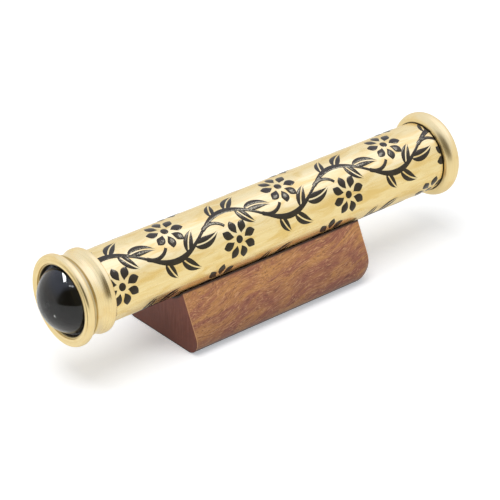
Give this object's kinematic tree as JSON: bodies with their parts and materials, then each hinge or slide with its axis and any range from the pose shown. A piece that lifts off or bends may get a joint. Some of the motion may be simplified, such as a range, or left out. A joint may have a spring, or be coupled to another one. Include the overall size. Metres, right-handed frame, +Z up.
{
  "type": "teleidoscope on a stand",
  "caption": "Brass teleidoscope with a glass ball lens, a mirror-lined barrel and a dished eyepiece, resting in a grooved wooden stand that it lifts out of.",
  "frame": {"origin": "centre of the stand's flat underside", "axes": "+X along the barrel from the lens to the eyepiece, +Z up"},
  "size_m": [0.2187, 0.0446, 0.0577],
  "materials": {
    "rosewood": "oiled, close-grained, streaked",
    "polished_brass": "turned and polished",
    "tube_brass": "polished along the tube, inlaid with black enamel",
    "ball_glass": "polished, dark because the barrel behind it is dark",
    "clear_window": "clear",
    "mirror_glass": "front-silvered",
    "black_rubber": "matt",
    "black_plate": "black enamel",
    "spring_steel": "bright",
    "black_card": "matt",
    "black_tape": "satin",
    "grey_felt": "felted"
  },
  "bodies": {
    "stand": {"stand_block": "rosewood"},
    "eyepiece": {"eyepiece_ring": "polished_brass", "eye_plate": "black_plate", "eye_window": "clear_window", "window_snap_ring": "spring_steel", "plug_o_ring": "black_rubber"},
    "barrel": {"barrel_tube": "tube_brass", "lens_collar": "polished_brass", "lens_retainer": "polished_brass", "ball_lens": "ball_glass", "ball_cup": "black_rubber", "front_mask": "black_card", "mirror_lower": "mirror_glass", "mirror_right": "mirror_glass", "mirror_left": "mirror_glass", "mirror_tape": "black_tape", "front_packing": "grey_felt", "rear_packing": "grey_felt"}
  },
  "joints": [
    {"name": "scope_lift", "type": "slide", "parent": "stand", "child": "eyepiece", "axis": [0, 0, 1], "range_m": [0, 0.06]},
    {"name": "barrel_turn", "type": "hinge", "parent": "eyepiece", "child": "barrel", "pos_m": [0, 0, 0.03757], "axis": [1, 0, 0], "continuous": true}
  ]
}
